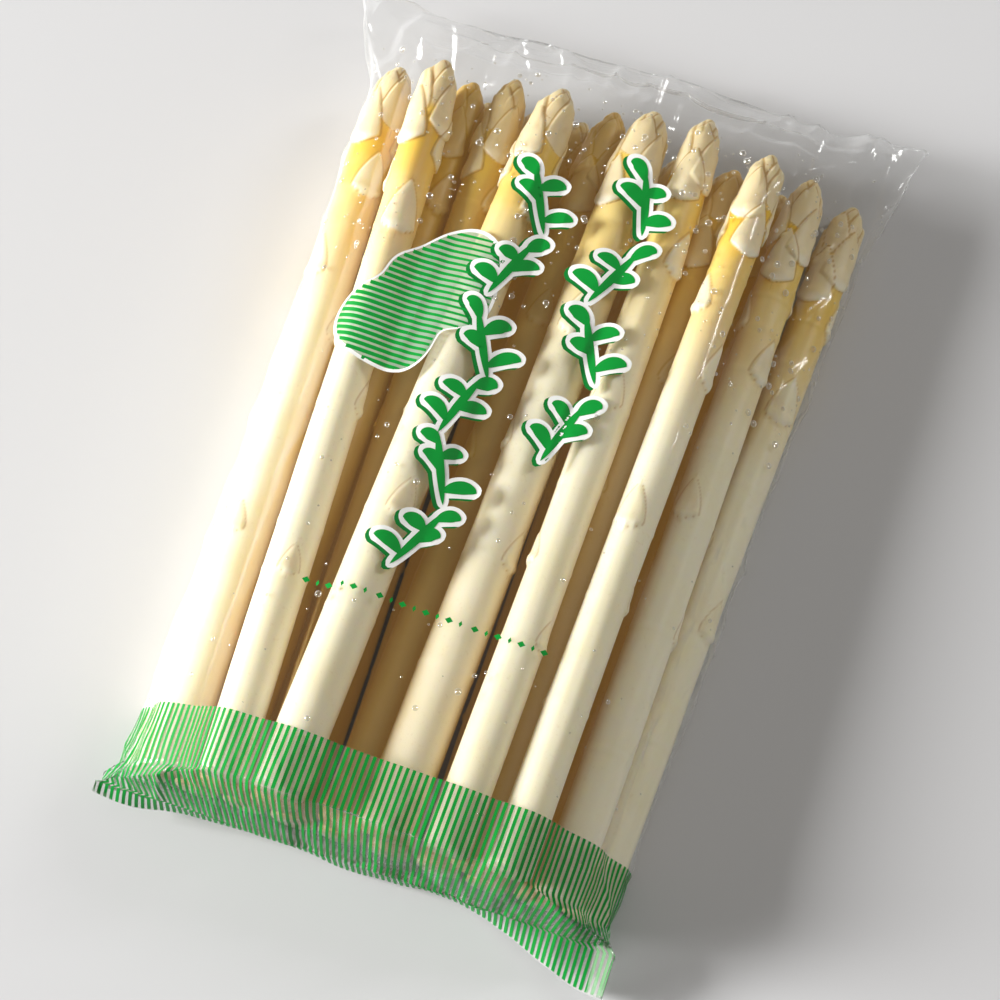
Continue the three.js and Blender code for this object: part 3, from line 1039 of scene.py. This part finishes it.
# %% Place and print the sprigs
LEFT_SPRIGS = [(-13, 75), (-13.6, 50), (-13.2, 25), (-13.4, 3), (-12.6, -18.5), (-11.6, -40.5)]
RIGHT_SPRIGS = [(17.2, 85.5), (16.6, 59), (16.9, 33.5), (17.4, 6)]
SHADOW_STEP = (-1.0, -0.9)
SPRIG_SIZE = 1.08
SPRIG_SEED = 300
OUTLINE = 1.25
SHADOW_LIFT, OUTLINE_LIFT, FILL_LIFT = 0.12, 0.2, 0.28
layers = {"shadow": [], "outline": [], "fill": []}
for order, (x, y) in enumerate(LEFT_SPRIGS + RIGHT_SPRIGS):
    mirror = np.array((1 if order % 2 else -1, 1))
    for control, width in sprig_strokes(SPRIG_SEED + order):
        control = [tuple(SPRIG_SIZE * mirror * point) for point in control]
        shifted = [(a + SHADOW_STEP[0], b + SHADOW_STEP[1]) for a, b in control]
        for layer, path, margin in (("shadow", shifted, OUTLINE),
                                    ("outline", control, OUTLINE), ("fill", control, 0)):
            layers[layer].append((*stroke(path, width, margin), x, y))
print_drawing("sprig_shadow_print", layers["shadow"], SHADOW_LIFT, dark_green)
print_drawing("sprig_outline_print", layers["outline"], OUTLINE_LIFT, white)
print_drawing("sprig_print", layers["fill"], FILL_LIFT, green)

# %% The striped leaf
LEAF_AT = (-36, 31)
LEAF_PITCH = 2.0
LEAF_GROUND_LIFT, LEAF_LIFT = 0.06, 0.12


def leaf_outline(count=96):
    turn = np.linspace(0, 2 * math.pi, count, endpoint=False)
    reach = 21 + 7 * np.cos(2 * (turn - 0.95)) + 1.6 * np.cos(5 * turn + 0.6)
    return np.stack([reach * np.cos(turn), reach * np.sin(turn)], axis=1)


def leaf_bars(outline):
    bars = []
    closed = np.vstack([outline, outline[:1]])
    for y in np.arange(outline[:, 1].min() + 1.2, outline[:, 1].max() - 0.6, LEAF_PITCH):
        before, after = closed[:-1], closed[1:]
        hit = (before[:, 1] - y) * (after[:, 1] - y) < 0
        share = (y - before[hit, 1]) / (after[hit, 1] - before[hit, 1])
        crossings = before[hit, 0] + share * (after[hit, 0] - before[hit, 0])
        x = np.linspace(crossings.min() + 0.6, crossings.max() - 0.6, 30)
        half = 0.62 * (1 - 0.45 * smooth_step(-10, 20, x))
        bars.append(strip(np.stack([x, y + half], 1), np.stack([x, y - half], 1), across=2))
    return bars


outline = leaf_outline()
inner = np.vstack([outline, outline[:1]])
edge = strip(inner * 1.03, inner * 0.985, across=2)
pale = strip(inner * 0.99, inner * 0.0, across=16)
print_drawing("leaf_ground_print", [(*pale, *LEAF_AT)], LEAF_GROUND_LIFT, mint)
print_drawing("leaf_edge_print", [(*edge, *LEAF_AT)], LEAF_LIFT, white)
print_drawing("leaf_bar_print", [(*bar, *LEAF_AT) for bar in leaf_bars(outline)], LEAF_LIFT, green)

# %% The row of marks
MARKS = 21
FIRST_MARK, MARK_STEP = (-38, -62.4), (3.62, 0.1)
WIDE_MARK, NARROW_MARK = 1.25, 0.55
marks = []
for order in range(MARKS):
    wide = WIDE_MARK if order % 2 == 0 else NARROW_MARK
    diamond = (np.array([(-wide, 0), (0, 1.0), (0, -1.0), (wide, 0)]), np.array([[0, 2, 3, 1]]))
    marks.append((*diamond, FIRST_MARK[0] + MARK_STEP[0] * order,
                  FIRST_MARK[1] + MARK_STEP[1] * order))
print_drawing("mark_print", marks, LEAF_LIFT, green)


# %% [markdown]
# ## Condensation
#
# Fresh spears breathe, so small drops cling inside the film, most of them near the buds. They
# are scattered points on the film that each carry a flattened bead. A low bead with smooth
# shading reads as water at this size, so a few dozen faces each are plenty.

# %% Water


def water_look():
    material, tree, shader = new_material("water")
    tree.nodes.remove(shader)
    # The white rim on each drop is a painted highlight, for the bright ring a real drop refracts
    rim = add_node(tree, "ShaderNodeLayerWeight", {"Blend": 0.5}).outputs["Facing"]
    rim_highlight_share = add_node(tree, "ShaderNodeMapRange",
                           {0: rim, 1: 0.35, 2: 0.85, 3: 0.0, 4: 0.8}).outputs[0]
    clear = add_node(tree, "ShaderNodeBsdfTransparent", {"Color": (0.97, 0.96, 0.93, 1)})
    pale = add_node(tree, "ShaderNodeBsdfDiffuse", {"Color": (1, 1, 1, 1)})
    body = add_node(tree, "ShaderNodeMixShader",
                    {0: rim_highlight_share, 1: clear.outputs[0], 2: pale.outputs[0]})
    shine = add_node(tree, "ShaderNodeBsdfGlossy", {"Color": (1, 1, 1, 1), "Roughness": 0.04})
    mixed = add_node(tree, "ShaderNodeMixShader",
                     {0: 0.24, 1: body.outputs[0], 2: shine.outputs[0]})
    tree.links.new(mixed.outputs[0], tree.nodes["Material Output"].inputs["Surface"])
    return material


water = water_look()
print("nodes in the water:", len(water.node_tree.nodes))

# %% The tree that scatters drops
INSIDE_FILM = 0.3 * MM
FLATNESS = 0.55


def drop_tree():
    tree, given, result = new_tree("condensation", (
        ("Film", "NodeSocketGeometry"), ("Density", "NodeSocketFloat"),
        ("Smallest", "NodeSocketFloat"), ("Largest", "NodeSocketFloat"),
        ("Seed", "NodeSocketInt"), ("Water", "NodeSocketMaterial")))
    share = add_node(tree, "GeometryNodeInputNamedAttribute", {"Name": "damp"},
                     data_type="FLOAT").outputs["Attribute"]
    density = add_node(tree, "ShaderNodeMath", {0: share, 1: given.outputs["Density"]},
                       operation="MULTIPLY").outputs[0]
    spread = add_node(tree, "GeometryNodeDistributePointsOnFaces", {
        "Mesh": given.outputs["Film"], "Density": density, "Seed": given.outputs["Seed"]})
    inward = add_node(tree, "ShaderNodeVectorMath",
                      {0: spread.outputs["Normal"], "Scale": -INSIDE_FILM}, operation="SCALE")
    inside = add_node(tree, "GeometryNodeSetPosition", {
        "Geometry": spread.outputs["Points"], "Offset": inward.outputs[0]}).outputs[0]
    bead = add_node(tree, "GeometryNodeMeshUVSphere",
                    {"Segments": 10, "Rings": 6, "Radius": 1.0}).outputs[0]
    soft = add_node(tree, "GeometryNodeSetShadeSmooth", {"Geometry": bead}).outputs[0]
    luck = add_node(tree, "FunctionNodeRandomValue", {"Min": 0.0, "Max": 1.0}, data_type="FLOAT")
    skewed = add_node(tree, "ShaderNodeMath", {0: luck.outputs[1], 1: 3.0}, operation="POWER")
    size = add_node(tree, "ShaderNodeMapRange", {
        0: skewed.outputs[0], 3: given.outputs["Smallest"], 4: given.outputs["Largest"]})
    low = add_node(tree, "ShaderNodeMath", {0: size.outputs[0], 1: FLATNESS}, operation="MULTIPLY")
    scale = add_node(tree, "ShaderNodeCombineXYZ",
                     {0: size.outputs[0], 1: size.outputs[0], 2: low.outputs[0]}).outputs[0]
    beads = add_node(tree, "GeometryNodeInstanceOnPoints", {
        "Points": inside, "Instance": soft,
        "Rotation": spread.outputs["Rotation"], "Scale": scale}).outputs[0]
    real = add_node(tree, "GeometryNodeRealizeInstances", {0: beads}).outputs[0]
    wet = add_node(tree, "GeometryNodeSetMaterial",
                   {"Geometry": real, "Material": given.outputs["Water"]}).outputs[0]
    tree.links.new(wet, result.inputs[0])
    return tree


scatter = drop_tree()
print("nodes in the tree:", len(scatter.nodes))

# %% Where the film is damp
along_mm = film_points[:, :, 1] / MM
upper = outward(film_points)[:, :, 2] > 0.25
damp = (smooth_step(15, 75, along_mm) * (1 - smooth_step(112, 122, along_mm)) + 0.1)
damp = damp * upper * (film_rows > face_top + 8 * MM)[:, None] * (film_rows < 126 * MM)[:, None]
print("share of the film that is damp:", round(float((damp > 0.5).mean()), 2))

# %% Drops
drops = mesh_object("drops", film_points.reshape(-1, 3), film_faces)
damp_layer = drops.data.attributes.new("damp", "FLOAT", "POINT")
damp_layer.data.foreach_set("value", damp.ravel().astype(np.float32))
run_tree(drops, scatter, Density=34000.0, Smallest=0.28 * MM, Largest=1.15 * MM, Seed=5,
         Water=water)
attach(drops, "root")
print("drop faces:", len(drops.data.polygons))

# %% [markdown]
# ## Floor
#
# The bundle lies on a plain matt floor, large enough that its edges are never seen. It belongs
# to the studio and not to the object.

# %% Floor
floor_material, floor_tree, floor_shader = new_material("floor")
floor_shader.inputs["Base Color"].default_value = (0.63, 0.635, 0.65, 1)
floor_shader.inputs["Roughness"].default_value = 0.9
HALF_FLOOR = 6
corners = [(HALF_FLOOR * x, HALF_FLOOR * y, 0) for x, y in ((-1, -1), (1, -1), (1, 1), (-1, 1))]
floor = mesh_object("floor", corners, [(0, 1, 2, 3)], floor_material)
print("floor, m across:", 2 * HALF_FLOOR)
